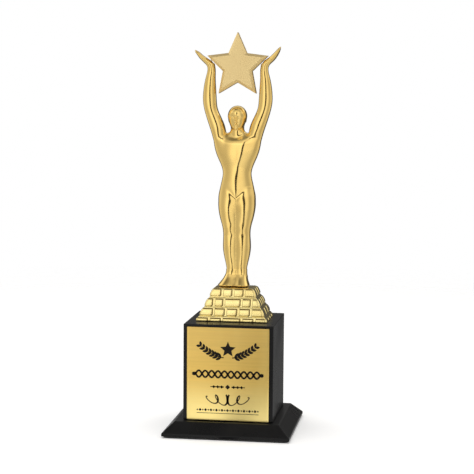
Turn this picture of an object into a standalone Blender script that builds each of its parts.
"""Star trophy: a gilded figure that holds up a star, on a brick pedestal, a black block and a bevelled plinth.

Everything is in metres, +Z up, with the origin at the centre of the underside and the front facing -Y.
Measures are written in millimetres and multiplied by MM. The figure, the star and the pedestal are castings;
the block and the plinth are lacquered board; a threaded rod through the middle clamps the stack together.
"""

import math

import bmesh
import bpy
import numpy as np
from mathutils import Matrix, Vector

MM = 0.001

# Driving dimensions, in millimetres.
HEIGHT = 304.8
GAP = 0.3  # between pieces that touch on the real object
FELT_SIZE, FELT_THICK, FELT_CORNER = 95.0, 0.8, 4.0
PLINTH_BOTTOM, PLINTH_TOP, PLINTH_LIP = 97.0, 79.3, 2.2
PLINTH_THICK = 10.4
BLOCK_SIDE, BLOCK_HEIGHT = 68.5, 73.3
BOARD_EDGE, EDGE_STEPS = 0.5, 3  # radius of the lacquered edges
PLAQUE_WIDTH, PLAQUE_HEIGHT, PLAQUE_THICK = 62.5, 71.0, 0.6
TAPE_THICK, TAPE_MARGIN, TAPE_GAP = 0.3, 1.5, 0.1
STAR_RADIUS, STAR_INNER, STAR_THICK, STAR_CHAMFER = 24.6, 11.8, 10.0, 0.8
STAR_STRETCH = 1.045  # the star is slightly taller than a regular one
FIGURE_Y = 5.0  # the plane of the body and the arms

# Heights of the stack, worked out from the floor up.
PLINTH_BASE = FELT_THICK + GAP
BLOCK_BASE = PLINTH_BASE + PLINTH_THICK + GAP
BLOCK_TOP = BLOCK_BASE + BLOCK_HEIGHT
PEDESTAL_BASE = BLOCK_TOP + GAP
COURSE_HEIGHTS = (4.0, 6.9, 6.9, 6.5)  # from the bottom course up
PEDESTAL_TOP = PEDESTAL_BASE + sum(COURSE_HEIGHTS)
FEET_BASE = PEDESTAL_TOP + GAP
STAR_Z = HEIGHT - STAR_RADIUS * STAR_STRETCH

# Brick courses from the bottom up: half width and half depth at the foot, the same at the head, then the number of
# bricks along the front and along a side.
COURSES = (
    (27.2, 20.3, 25.3, 18.9, 5, 4),
    (24.9, 18.5, 21.9, 16.3, 5, 3),
    (21.5, 16.0, 18.5, 13.8, 5, 3),
    (17.9, 13.4, 15.5, 11.7, 4, 3),
)
COURSE_BELLY, BRICK_ROUND = 0.5, 0.7
JOINT_WIDTH, JOINT_DEPTH = 0.8, 0.6
PEDESTAL_TOP_WALL = 4.5
CAVITY_BOTTOM, CAVITY_TOP = (24.2, 17.2), (13.8, 9.6)  # half sizes of the hollow

# Hardware, in millimetres.
ROD_RADIUS, ROD_BASE, ROD_TOP = 2.5, 1.5, 94.5
THREAD_PITCH, THREAD_DEPTH, THREAD_LENGTH = 1.6, 0.35, 11.0
NUT_ACROSS, NUT_HEIGHT = 8.0, 4.7
WASHER_RADIUS, WASHER_THICK = 5.0, 1.0
COUNTERBORE_RADIUS, COUNTERBORE_DEPTH = 7.0, 7.0
BORE_RADIUS = 3.2
INSERT_RADIUS, INSERT_LENGTH = 3.6, 8.4
BOSS_RADIUS, BOSS_HEIGHT = 5.4, 9.5
RIB_HALF, PIN_BOSS_RADIUS = 1.5, 3.2
PIN_RADIUS, PIN_LENGTH, PIN_X = 1.5, 10.0, 17.5
SCREW_XY, SCREW_RADIUS, SCREW_LENGTH = 22.0, 1.75, 19.0
SCREW_HEAD_RADIUS, SCREW_HEAD_HEIGHT = 3.4, 2.2
FOOT_SCREW_AT, FOOT_SCREW_RADIUS, FOOT_SCREW_LENGTH = (4.4, 6.7), 1.5, 10.5
FOOT_HEAD_RADIUS, FOOT_HEAD_HEIGHT = 2.6, 1.9
STAR_PIN_RADIUS, STAR_PIN_LENGTH = 0.8, 5.2

# The figure's right half. Each row is a section of a limb: x, y, z of its centre, half width and half depth.
LEG = (
    (3.7, 6.6, 111.0, 4.2, 4.6),
    (3.6, 6.6, 118.0, 4.1, 4.3),
    (3.9, 6.7, 125.0, 4.4, 4.9),
    (4.5, 6.8, 131.0, 5.0, 5.9),
    (5.0, 6.7, 138.0, 5.6, 6.8),
    (5.1, 6.4, 144.0, 5.7, 6.8),
    (5.0, 5.6, 151.0, 5.6, 6.2),
    (5.3, 5.1, 157.0, 5.9, 6.6),
    (6.1, 5.0, 163.0, 6.7, 7.6),
    (6.8, 5.2, 169.0, 7.3, 8.4),
    (7.0, 5.5, 175.0, 7.4, 8.8),
    (6.4, 5.5, 180.0, 6.5, 7.8),
    (5.6, 5.4, 185.0, 4.4, 5.4),
)
FOOT = (
    (3.4, 10.0, 112.4, 2.2, 2.4),
    (3.7, 7.4, 113.6, 3.7, 3.7),
    (4.6, 2.6, 113.6, 3.9, 3.7),
    (6.4, -2.6, 112.6, 4.0, 2.9),
    (8.3, -7.2, 111.5, 3.9, 2.0),
    (9.6, -10.4, 110.9, 2.9, 1.4),
    (10.1, -11.6, 110.6, 1.2, 0.8),
)
TORSO = (
    (0.0, 5.4, 170.0, 13.9, 8.2),
    (0.0, 5.4, 177.0, 14.3, 8.7),
    (0.0, 5.3, 184.0, 13.6, 8.0),
    (0.0, 5.2, 191.0, 12.0, 7.3),
    (0.0, 5.2, 198.0, 11.1, 6.9),
    (0.0, 5.2, 204.0, 12.4, 7.4),
    (0.0, 5.1, 209.0, 14.9, 8.1),
    (0.0, 5.0, 215.0, 17.5, 8.7),
    (0.0, 5.0, 221.0, 18.2, 8.3),
    (0.0, 5.1, 225.5, 15.6, 7.0),
    (0.0, 5.2, 228.5, 9.6, 5.9),
    (0.0, 5.0, 231.0, 6.2, 5.5),
    (0.0, 4.6, 238.0, 5.4, 5.6),
)
ARM = (
    (11.6, 5.0, 212.0, 3.0, 4.0),
    (12.5, 5.0, 217.0, 4.8, 5.6),
    (13.6, 5.0, 222.5, 5.7, 6.2),
    (14.4, 5.0, 229.0, 6.2, 6.3),
    (16.6, 5.0, 236.0, 5.9, 5.9),
    (19.1, 5.0, 242.0, 5.2, 5.4),
    (21.0, 5.0, 248.0, 5.0, 5.0),
    (21.6, 5.0, 254.0, 5.1, 4.9),
    (21.6, 5.0, 260.5, 4.8, 4.7),
    (21.3, 5.0, 267.0, 4.1, 4.2),
    (20.7, 5.0, 273.0, 3.3, 3.5),
    (20.4, 5.0, 277.6, 3.0, 3.2),
    (21.2, 5.0, 280.6, 2.8, 3.4),
    (23.3, 5.0, 282.9, 2.5, 4.0),
    (26.3, 5.0, 285.1, 2.2, 4.6),
    (28.8, 5.0, 287.6, 2.0, 4.6),
    (30.6, 5.0, 290.1, 1.5, 4.0),
    (31.9, 5.0, 292.0, 0.9, 2.4),
)
# The web that joins the legs down the middle.
WEB = (
    (0.0, 7.2, 111.5, 3.2, 2.8),
    (0.0, 7.1, 120.0, 3.6, 3.0),
    (0.0, 7.0, 129.0, 4.3, 4.3),
    (0.0, 6.6, 138.0, 5.0, 5.5),
    (0.0, 6.1, 145.0, 5.0, 5.3),
    (0.0, 5.2, 151.0, 4.8, 4.8),
    (0.0, 4.7, 158.0, 5.6, 5.4),
    (0.0, 4.4, 166.0, 6.8, 6.4),
    (0.0, 4.8, 175.0, 7.4, 6.8),
)
HEAD_AT, HEAD_HALF = (0.0, 4.2, 241.0), (7.1, 8.2, 8.2)
SECTION_SIDES = 20
SKIN_VOXEL, SKIN_KEEP = 0.75, 0.075


def clear_scene():
    for obj in list(bpy.data.objects):
        bpy.data.objects.remove(obj, do_unlink=True)


def collection(name):
    found = bpy.data.collections.new(name)
    bpy.context.scene.collection.children.link(found)
    return found


def material(name, colour, roughness, metallic):
    made = bpy.data.materials.new(name)
    made.use_nodes = True
    shader = made.node_tree.nodes["Principled BSDF"]
    shader.inputs["Base Color"].default_value = (*colour, 1.0)
    shader.inputs["Roughness"].default_value = roughness
    shader.inputs["Metallic"].default_value = metallic
    made.diffuse_color = (*colour, 1.0)
    return made


def add_object(name, bm, where, skin=None, scale=MM):
    """Turns a bmesh in millimetres into a named object with outward faces."""
    bmesh.ops.scale(bm, vec=(scale,) * 3, verts=bm.verts)
    bmesh.ops.recalc_face_normals(bm, faces=bm.faces)
    mesh = bpy.data.meshes.new(name)
    bm.to_mesh(mesh)
    bm.free()
    obj = bpy.data.objects.new(name, mesh)
    where.objects.link(obj)
    if skin is not None:
        mesh.materials.append(skin)
    return obj


def shade_round(obj, degrees=35):
    obj.data.shade_smooth()
    obj.data.set_sharp_from_angle(angle=math.radians(degrees))


def add_block(bm, size, centre):
    """A box of the given size round a centre."""
    placed = Matrix.Translation(centre) @ Matrix.Diagonal((*size, 1.0))
    bmesh.ops.create_cube(bm, size=1.0, matrix=placed)


def add_rod(bm, radius, low, high, at=(0.0, 0.0), sides=32, tip_radius=None):
    """An upright cylinder or cone between two heights."""
    placed = Matrix.Translation((at[0], at[1], (low + high) / 2))
    bmesh.ops.create_cone(
        bm,
        cap_ends=True,
        segments=sides,
        radius1=radius,
        radius2=radius if tip_radius is None else tip_radius,
        depth=high - low,
        matrix=placed,
    )


def rings_to_skin(bm, rings):
    """A closed skin over a list of rings with the same number of points, capped at both ends."""
    rows = [[bm.verts.new(p) for p in ring] for ring in rings]
    count = len(rows[0])
    for low, high in zip(rows, rows[1:]):
        for i in range(count):
            j = (i + 1) % count
            bm.faces.new((low[i], low[j], high[j], high[i]))
    bm.faces.new(list(reversed(rows[0])))
    bm.faces.new(rows[-1])


def rectangle(half_x, half_y, z):
    return [(-half_x, -half_y, z), (half_x, -half_y, z), (half_x, half_y, z), (-half_x, half_y, z)]


def add_limb(bm, sections, deep, side=1.0):
    """A limb through elliptical sections that stand square to its path. deep is the depth's direction."""
    rows = np.array(sections, float)
    centres = rows[:, :3] * (side, 1.0, 1.0)
    along = np.gradient(centres, axis=0)
    deep = np.array(deep, float)
    wide = np.cross(deep, along)
    wide /= np.linalg.norm(wide, axis=1)[:, None]
    turn = np.linspace(0.0, 2 * math.pi, SECTION_SIDES, endpoint=False)
    rings = (
        centres[:, None]
        + rows[:, 3, None, None] * np.cos(turn)[None, :, None] * wide[:, None]
        + rows[:, 4, None, None] * np.sin(turn)[None, :, None] * deep
    )
    rings_to_skin(bm, rings.tolist())


def boolean(obj, other, operation="DIFFERENCE"):
    cut = obj.modifiers.new(other.name, "BOOLEAN")
    cut.operation = operation
    cut.object = other
    cut.solver = "EXACT"


def cutter(name, bm):
    obj = add_object(name, bm, CUTTERS)
    obj.hide_render = True
    obj.display_type = "WIRE"
    return obj


def star_outline(grow=0.0):
    """Ten corners of a five-pointed star, its point up. grow pushes every edge outwards."""
    tip, notch = star_corner(0), star_corner(1)
    edge = (notch - tip).normalized()
    reach = abs(edge.x * tip.y - edge.y * tip.x)
    return [star_corner(i) * (1 + grow / reach) for i in range(10)]


def star_corner(i):
    """Corner i of the star, clockwise from its top: even ones are tips and odd ones are notches."""
    radius = STAR_INNER if i % 2 else STAR_RADIUS
    turn = i * math.pi / 5
    return Vector((math.sin(turn) * radius, math.cos(turn) * radius * STAR_STRETCH))


def add_star(bm, levels):
    """A star through rings at the given depths. levels is a list of (y, grow)."""
    rings = [[(x, y, STAR_Z + z) for x, z in star_outline(grow)] for y, grow in levels]
    rings_to_skin(bm, rings)


def star_seat():
    """Where a side arm's lower edge rests in a palm: a point on the edge and the direction into the star."""
    tip, notch = star_corner(2), star_corner(3)
    edge = (tip - notch).normalized()
    spot = tip.lerp(notch, 0.26)
    inward = Vector((-edge.y, edge.x))
    return (spot.x, FIGURE_Y, STAR_Z + spot.y), (inward.x, 0.0, inward.y)


def threaded_profile(radius, low, high):
    """The outer side of a rod from top to bottom, with thread crests at both ends."""
    points = [(0.0, high), (radius - THREAD_DEPTH, high)]
    turns = int(THREAD_LENGTH / THREAD_PITCH)
    for i in range(turns):
        z = high - (i + 0.5) * THREAD_PITCH
        points += [(radius, z), (radius - THREAD_DEPTH, z - THREAD_PITCH / 2)]
    points += [(radius, high - THREAD_LENGTH - THREAD_PITCH), (radius, low + THREAD_LENGTH + THREAD_PITCH)]
    for i in reversed(range(turns)):
        z = low + (i + 0.5) * THREAD_PITCH
        points += [(radius - THREAD_DEPTH, z + THREAD_PITCH / 2), (radius, z)]
    return points + [(radius - THREAD_DEPTH, low), (0.0, low)]


def wood_screw_profile(low):
    """A countersunk screw with its head down at height low, listed from its point to its head."""
    top = low + SCREW_LENGTH
    neck = low + SCREW_HEAD_HEIGHT
    points = [(0.0, top), (SCREW_RADIUS * 0.7, top - 2.4)]
    z = top - 2.4
    while z - THREAD_PITCH > low + 0.55 * SCREW_LENGTH:
        points += [(SCREW_RADIUS, z - THREAD_PITCH / 2), (SCREW_RADIUS * 0.75, z - THREAD_PITCH)]
        z -= THREAD_PITCH
    return points + [
        (SCREW_RADIUS, z - 1.0),
        (SCREW_RADIUS, neck),
        (SCREW_HEAD_RADIUS, low + 0.3),
        (SCREW_HEAD_RADIUS, low),
        (0.0, low),
    ]


def foot_screw_profile(low):
    """A pan-headed screw with its head down at height low, listed from its end to its head."""
    top = low + FOOT_SCREW_LENGTH
    return [
        (0.0, top),
        (FOOT_SCREW_RADIUS * 0.7, top),
        (FOOT_SCREW_RADIUS, top - 0.6),
        (FOOT_SCREW_RADIUS, low + FOOT_HEAD_HEIGHT),
        (FOOT_HEAD_RADIUS, low + FOOT_HEAD_HEIGHT),
        (FOOT_HEAD_RADIUS, low + 0.8),
        (FOOT_HEAD_RADIUS - 0.8, low),
        (0.0, low),
    ]


def turned(name, profile, skin, at=(0.0, 0.0), steps=24):
    """A turned piece: the profile spun about its own axis by a Screw modifier."""
    mesh = bpy.data.meshes.new(name)
    points = [(x * MM, 0.0, z * MM) for x, z in profile]
    mesh.from_pydata(points, [(i, i + 1) for i in range(len(points) - 1)], [])
    obj = bpy.data.objects.new(name, mesh)
    obj.location = (at[0] * MM, at[1] * MM, 0.0)
    PARTS.objects.link(obj)
    mesh.materials.append(skin)
    spin = obj.modifiers.new("spin", "SCREW")
    spin.axis = "Z"
    spin.steps = spin.render_steps = steps
    spin.use_merge_vertices = True
    spin.merge_threshold = 0.00001
    spin.use_smooth_shade = True
    return obj


def hex_slot(name, radius, low, depth, at):
    """A cutter for a hexagon or cross recess in a screw head at height low."""
    bm = bmesh.new()
    add_rod(bm, radius, low - 1.0, low + depth, at, sides=6)
    return cutter(name, bm)


# --- the stack, from the floor up ---


def felt_pad():
    bm = bmesh.new()
    add_block(bm, (FELT_SIZE, FELT_SIZE, FELT_THICK), (0, 0, FELT_THICK / 2))
    upright = [e for e in bm.edges if abs(e.verts[0].co.z - e.verts[1].co.z) > FELT_THICK / 2]
    bmesh.ops.bevel(bm, geom=upright, offset=FELT_CORNER, segments=5, affect="EDGES", profile=0.5)
    add_object("felt_pad", bm, PARTS, FELT)


def round_edges(bm):
    """Rounds every edge of a board or block as sanding and lacquer leave it."""
    bmesh.ops.bevel(
        bm, geom=list(bm.edges), offset=BOARD_EDGE, segments=EDGE_STEPS, affect="EDGES", profile=0.5
    )


def plinth_board():
    low, high = PLINTH_BASE, PLINTH_BASE + PLINTH_THICK
    wide, narrow = PLINTH_BOTTOM / 2, PLINTH_TOP / 2
    bm = bmesh.new()
    rings = [rectangle(wide, wide, low), rectangle(wide, wide, low + PLINTH_LIP), rectangle(narrow, narrow, high)]
    rings_to_skin(bm, rings)
    round_edges(bm)
    board = add_object("plinth_board", bm, PARTS, LACQUER)
    holes = bmesh.new()
    add_rod(holes, COUNTERBORE_RADIUS, low - 1.0, low + COUNTERBORE_DEPTH)
    counterbore = cutter("rod_counterbore", holes)
    holes = bmesh.new()
    add_rod(holes, BORE_RADIUS, low, high + 1.0)
    for x, y in screw_places():
        add_rod(holes, SCREW_RADIUS + GAP, low + 1.0, high + 1.0, (x, y), sides=24)
    bores = cutter("board_bores", holes)
    holes = bmesh.new()
    head = SCREW_HEAD_RADIUS + GAP + 0.2
    reach = SCREW_HEAD_HEIGHT + 1.2
    for x, y in screw_places():
        add_rod(holes, head + 0.5, low - 0.5, low + reach, (x, y), 24, SCREW_RADIUS + GAP)
    sinks = cutter("screw_sinks", holes)
    for hole in (counterbore, bores, sinks):
        boolean(board, hole)


def screw_places():
    return [(x * SCREW_XY, y * SCREW_XY) for x, y in ((-1, -1), (1, -1), (1, 1), (-1, 1))]


def base_block():
    bm = bmesh.new()
    middle = (BLOCK_BASE + BLOCK_TOP) / 2
    add_block(bm, (BLOCK_SIDE, BLOCK_SIDE, BLOCK_HEIGHT), (0, 0, middle))
    round_edges(bm)
    block = add_object("base_block", bm, PARTS, LACQUER)
    holes = bmesh.new()
    add_rod(holes, BORE_RADIUS, BLOCK_BASE - 1.0, BLOCK_TOP + 1.0)
    for x, y in screw_places():
        add_rod(holes, SCREW_RADIUS + GAP, BLOCK_BASE - 1.0, PLINTH_BASE + SCREW_LENGTH + 1.5, (x, y), 20)
    for side in (-1, 1):
        add_rod(
            holes, PIN_RADIUS + GAP, BLOCK_TOP - PIN_LENGTH / 2 - GAP, BLOCK_TOP + 1.0, (side * PIN_X, 0), 20
        )
    boolean(block, cutter("block_bores", holes))


def plaque_and_tape():
    face = -BLOCK_SIDE / 2
    middle = BLOCK_BASE + 0.4 + PLAQUE_HEIGHT / 2
    tape_y = face - TAPE_GAP - TAPE_THICK / 2
    bm = bmesh.new()
    trim = 2 * TAPE_MARGIN
    add_block(bm, (PLAQUE_WIDTH - trim, TAPE_THICK, PLAQUE_HEIGHT - trim), (0, tape_y, middle))
    add_object("plaque_adhesive", bm, PARTS, TAPE)
    plate_y = face - 2 * TAPE_GAP - TAPE_THICK - PLAQUE_THICK / 2
    bm = bmesh.new()
    add_block(bm, (PLAQUE_WIDTH, PLAQUE_THICK, PLAQUE_HEIGHT), (0, plate_y, middle))
    front = [e for e in bm.edges if all(v.co.y < plate_y for v in e.verts)]
    bmesh.ops.bevel(bm, geom=front, offset=0.15, segments=1, affect="EDGES")
    add_object("name_plaque", bm, PARTS, PLATE)


def add_joint(bm, foot, head, half_x, half_y):
    """A leaning bar from foot to head, with a level rectangular section."""
    bar = [[(x + at[0], y + at[1], z) for x, y, z in rectangle(half_x, half_y, at[2])] for at in (foot, head)]
    rings_to_skin(bm, bar)


def brick_pedestal():
    rings = []
    low = PEDESTAL_BASE
    joints = bmesh.new()
    for (foot_x, foot_y, head_x, head_y, along, across), height in zip(COURSES, COURSE_HEIGHTS):
        high = low + height
        r = BRICK_ROUND
        middle = (low + high) / 2
        belly_x, belly_y = (foot_x + head_x) / 2 + COURSE_BELLY, (foot_y + head_y) / 2 + COURSE_BELLY
        rings += [
            rectangle(foot_x - r / 2, foot_y - r / 2, low),
            rectangle(foot_x, foot_y, low + r),
            rectangle(belly_x, belly_y, middle),
            rectangle(head_x + r / 2, head_y + r / 2, high - r),
            rectangle(head_x - r / 2, head_y - r / 2, high - 0.001),
        ]
        bottom, top = low + 0.1, high - 0.1
        for i in range(1, along):
            share = 2 * i / along - 1
            for side in (-1, 1):
                foot = (share * foot_x, side * foot_y, bottom)
                add_joint(joints, foot, (share * head_x, side * head_y, top), JOINT_WIDTH / 2, JOINT_DEPTH)
        for i in range(1, across):
            share = 2 * i / across - 1
            for side in (-1, 1):
                foot = (side * foot_x, share * foot_y, bottom)
                add_joint(joints, foot, (side * head_x, share * head_y, top), JOINT_DEPTH, JOINT_WIDTH / 2)
        low = high
    bm = bmesh.new()
    rings_to_skin(bm, rings)
    shell = add_object("brick_pedestal", bm, PARTS, GOLD)
    boolean(shell, cutter("mortar_joints", joints))

    hollow = bmesh.new()
    rings_to_skin(
        hollow,
        [rectangle(*CAVITY_BOTTOM, PEDESTAL_BASE - 0.5), rectangle(*CAVITY_TOP, PEDESTAL_TOP - PEDESTAL_TOP_WALL)],
    )
    boolean(shell, cutter("pedestal_hollow", hollow))

    ribs = bmesh.new()
    top = PEDESTAL_BASE + BOSS_HEIGHT
    reach = CAVITY_BOTTOM[0] - 1.0
    rings_to_skin(
        ribs,
        [rectangle(reach + 2.0, RIB_HALF, PEDESTAL_BASE), rectangle(reach - 2.5, RIB_HALF, top)],
    )
    add_stem = cutter("pedestal_rib", ribs)
    boolean(shell, add_stem, "UNION")
    for name, radius, x in (
        ("rod_boss", BOSS_RADIUS, 0.0),
        ("pin_boss_left", PIN_BOSS_RADIUS, -PIN_X),
        ("pin_boss_right", PIN_BOSS_RADIUS, PIN_X),
    ):
        bm = bmesh.new()
        add_rod(bm, radius, PEDESTAL_BASE, top if x == 0.0 else PEDESTAL_BASE + 7.5, (x, 0.0), 28)
        boolean(shell, cutter(name, bm), "UNION")

    bores = bmesh.new()
    add_rod(bores, INSERT_RADIUS + GAP, PEDESTAL_BASE - 1.0, top + 1.0)
    for side in (-1, 1):
        add_rod(bores, PIN_RADIUS + GAP, PEDESTAL_BASE - 1.0, PEDESTAL_BASE + 5.5, (side * PIN_X, 0), 20)
        at = (side * FOOT_SCREW_AT[0], FOOT_SCREW_AT[1])
        add_rod(bores, FOOT_SCREW_RADIUS + GAP, PEDESTAL_TOP - 6.0, PEDESTAL_TOP + 1.0, at, 20)
    boolean(shell, cutter("pedestal_bores", bores))


def figure():
    bm = bmesh.new()
    for side in (-1.0, 1.0):
        add_limb(bm, LEG, (0, 1, 0), side)
        add_limb(bm, FOOT, (0, 0, 1), side)
        add_limb(bm, ARM, (0, 1, 0), side)
    add_limb(bm, TORSO, (0, 1, 0))
    add_limb(bm, WEB, (0, 1, 0))
    placed = Matrix.Translation(HEAD_AT) @ Matrix.Diagonal((*HEAD_HALF, 1.0))
    bmesh.ops.create_uvsphere(bm, u_segments=24, v_segments=16, radius=1.0, matrix=placed)
    body = add_object("figure", bm, PARTS, GOLD)

    fuse = body.modifiers.new("fuse", "REMESH")
    fuse.mode = "VOXEL"
    fuse.voxel_size = SKIN_VOXEL * MM
    soften = body.modifiers.new("soften", "SMOOTH")
    soften.factor, soften.iterations = 0.5, 4
    thin = body.modifiers.new("thin", "DECIMATE")
    thin.ratio = SKIN_KEEP

    sole = bmesh.new()
    add_block(sole, (60, 60, 20), (0, 0, FEET_BASE - 10))
    boolean(body, cutter("sole_plane", sole))
    seat = bmesh.new()
    half = STAR_THICK / 2 + GAP
    add_star(seat, [(FIGURE_Y - half, GAP), (FIGURE_Y + half, GAP)])
    boolean(body, cutter("star_seat", seat))
    holes = bmesh.new()
    for side in (-1, 1):
        at = (side * FOOT_SCREW_AT[0], FOOT_SCREW_AT[1])
        add_rod(holes, FOOT_SCREW_RADIUS + GAP, FEET_BASE - 1.0, FEET_BASE + 4.5, at, 16)
    add_star_pins(holes, STAR_PIN_RADIUS + GAP, STAR_PIN_LENGTH + 2 * GAP)
    boolean(body, cutter("figure_bores", holes))
    shade_round(body, 60)


def pin_matrix(side):
    """Places a pin's axis square to the star's edge where it rests in a palm."""
    spot, inward = star_seat()
    spot = Vector((side * spot[0], spot[1], spot[2]))
    inward = Vector((side * inward[0], inward[1], inward[2]))
    return Matrix.Translation(spot) @ inward.to_track_quat("Z", "Y").to_matrix().to_4x4()


def add_star_pins(bm, radius, length, sides=(-1, 1)):
    for side in sides:
        bmesh.ops.create_cone(
            bm,
            cap_ends=True,
            segments=16,
            radius1=radius,
            radius2=radius,
            depth=length,
            matrix=pin_matrix(side),
        )


def star():
    half = STAR_THICK / 2
    bm = bmesh.new()
    add_star(
        bm,
        [
            (FIGURE_Y - half, -STAR_CHAMFER),
            (FIGURE_Y - half + STAR_CHAMFER, 0.0),
            (FIGURE_Y + half - STAR_CHAMFER, 0.0),
            (FIGURE_Y + half, -STAR_CHAMFER),
        ],
    )
    plate = add_object("star", bm, PARTS, GOLD)
    holes = bmesh.new()
    add_star_pins(holes, STAR_PIN_RADIUS + GAP, STAR_PIN_LENGTH + 2 * GAP)
    boolean(plate, cutter("star_bores", holes))


def star_pins():
    for name, side in (("star_pin_left", -1), ("star_pin_right", 1)):
        bm = bmesh.new()
        add_star_pins(bm, STAR_PIN_RADIUS, STAR_PIN_LENGTH, (side,))
        shade_round(add_object(name, bm, PARTS, STEEL))


def tie_rod_set():
    turned("tie_rod", threaded_profile(ROD_RADIUS, ROD_BASE, ROD_TOP), STEEL, steps=18)
    seat = PLINTH_BASE + COUNTERBORE_DEPTH - GAP
    bore = ROD_RADIUS + GAP
    washer = [
        (bore, seat),
        (WASHER_RADIUS, seat),
        (WASHER_RADIUS, seat - WASHER_THICK),
        (bore, seat - WASHER_THICK),
        (bore, seat),
    ]
    turned("tie_rod_washer", washer, STEEL)
    high = seat - WASHER_THICK - GAP
    bm = bmesh.new()
    corner = NUT_ACROSS / math.sqrt(3)
    add_rod(bm, corner, high - NUT_HEIGHT, high, sides=6)
    nut = add_object("tie_rod_nut", bm, PARTS, STEEL)
    rounder = bmesh.new()
    middle = high - NUT_HEIGHT / 2
    for low_r, high_r, low, top in (
        (NUT_ACROSS / 2 - 0.1, NUT_ACROSS / 2 + 2.5, middle - NUT_HEIGHT / 2 - 0.01, middle),
        (NUT_ACROSS / 2 + 2.5, NUT_ACROSS / 2 - 0.1, middle, middle + NUT_HEIGHT / 2 + 0.01),
    ):
        add_rod(rounder, low_r, low, top, sides=32, tip_radius=high_r)
    bmesh.ops.remove_doubles(rounder, verts=rounder.verts, dist=0.001)
    inner = [f for f in rounder.faces if abs(f.calc_center_median().z - middle) < 0.01]
    bmesh.ops.delete(rounder, geom=inner, context="FACES")
    boolean(nut, cutter("nut_chamfer", rounder), "INTERSECT")
    hole = bmesh.new()
    add_rod(hole, bore, high - NUT_HEIGHT - 1.0, high + 1.0, sides=24)
    boolean(nut, cutter("nut_bore", hole))
    shade_round(nut)


def threaded_insert():
    """A knurled bush in the pedestal's boss that takes the tie rod."""
    low, high = PEDESTAL_BASE + GAP, PEDESTAL_BASE + GAP + INSERT_LENGTH
    bore, outer, waist = ROD_RADIUS + GAP, INSERT_RADIUS, INSERT_RADIUS - 0.5
    third = INSERT_LENGTH / 3
    profile = [
        (bore, high),
        (outer - 0.3, high),
        (outer, high - 0.3),
        (outer, high - third),
        (waist, high - third - 0.4),
        (waist, low + third + 0.4),
        (outer, low + third),
        (outer, low + 0.3),
        (outer - 0.3, low),
        (bore, low),
        (bore, high),
    ]
    turned("threaded_insert", profile, BRASS, steps=32)


def screws_and_pins():
    head = PLINTH_BASE + GAP
    for i, at in enumerate(screw_places(), 1):
        screw = turned(f"base_screw_{i}", wood_screw_profile(head), STEEL, at, 16)
        boolean(screw, hex_slot(f"base_screw_slot_{i}", 1.5, head, 1.2, at))
    for name, side in (("left", -1), ("right", 1)):
        bm = bmesh.new()
        middle = (BLOCK_TOP + PEDESTAL_BASE) / 2
        low, high = middle - PIN_LENGTH / 2, middle + PIN_LENGTH / 2
        add_rod(bm, PIN_RADIUS, low, high, (side * PIN_X, 0.0), 20)
        rims = [e for e in bm.edges if abs(e.verts[0].co.z - e.verts[1].co.z) < 0.01]
        bmesh.ops.bevel(bm, geom=rims, offset=0.3, segments=1, affect="EDGES")
        shade_round(add_object(f"locating_pin_{name}", bm, PARTS, STEEL))
        at = (side * FOOT_SCREW_AT[0], FOOT_SCREW_AT[1])
        low = PEDESTAL_TOP - PEDESTAL_TOP_WALL - GAP - FOOT_HEAD_HEIGHT
        screw = turned(f"figure_screw_{name}", foot_screw_profile(low), STEEL, at, 20)
        boolean(screw, hex_slot(f"figure_screw_slot_{name}", 1.1, low, 1.0, at))


clear_scene()
PARTS = collection("star_trophy")
CUTTERS = collection("cutters")
GOLD = material("gilt casting", (0.83, 0.61, 0.26), 0.14, 1.0)
PLATE = material("brushed gold sheet", (0.80, 0.63, 0.26), 0.34, 1.0)
LACQUER = material("satin black lacquer", (0.012, 0.012, 0.013), 0.38, 0.0)
FELT = material("black felt", (0.02, 0.02, 0.022), 0.95, 0.0)
TAPE = material("foam tape", (0.75, 0.75, 0.72), 0.8, 0.0)
STEEL = material("zinc plated steel", (0.62, 0.63, 0.65), 0.3, 1.0)
BRASS = material("brass", (0.72, 0.55, 0.28), 0.3, 1.0)

felt_pad()
plinth_board()
base_block()
plaque_and_tape()
brick_pedestal()
figure()
star()
star_pins()
tie_rod_set()
threaded_insert()
screws_and_pins()
